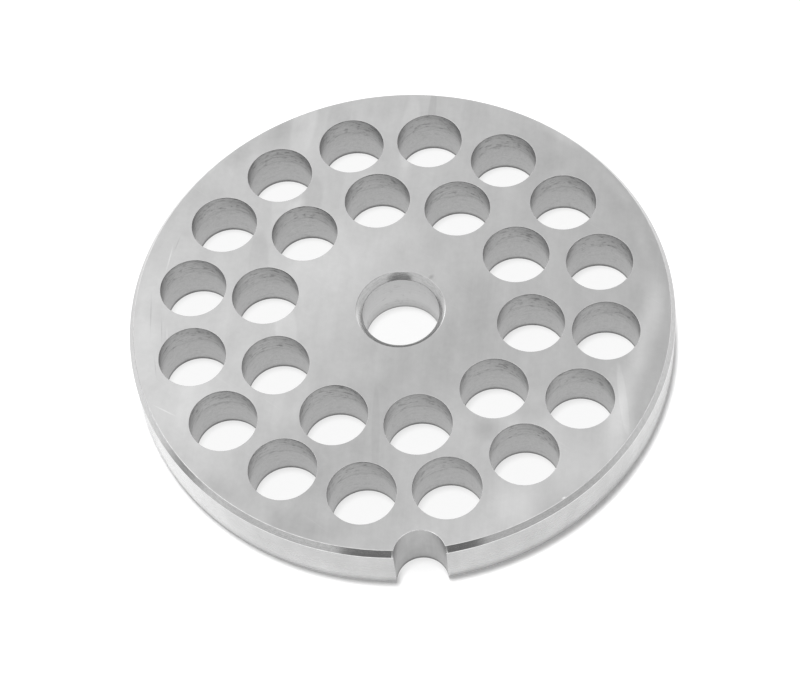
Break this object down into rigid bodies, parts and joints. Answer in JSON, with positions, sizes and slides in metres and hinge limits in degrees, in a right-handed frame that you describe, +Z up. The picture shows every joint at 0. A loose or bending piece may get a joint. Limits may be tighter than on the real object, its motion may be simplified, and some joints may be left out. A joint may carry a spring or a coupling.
{
  "type": "meat grinder plate",
  "caption": "Flat round steel plate for a meat grinder, drilled through in two rows around a chamfered centre bore, with a half-round keyway in its rim.",
  "frame": {"origin": "on the axis of the centre bore, in the plane of the underside", "axes": "+Z up along the bore's axis, towards the knife face; the keyway is at -Y"},
  "size_m": [0.082, 0.0818, 0.0088],
  "materials": {
    "steel": "ground faces, turned rim, drilled holes"
  },
  "bodies": {
    "root": {"grinder_plate": "steel"}
  },
  "joints": []
}
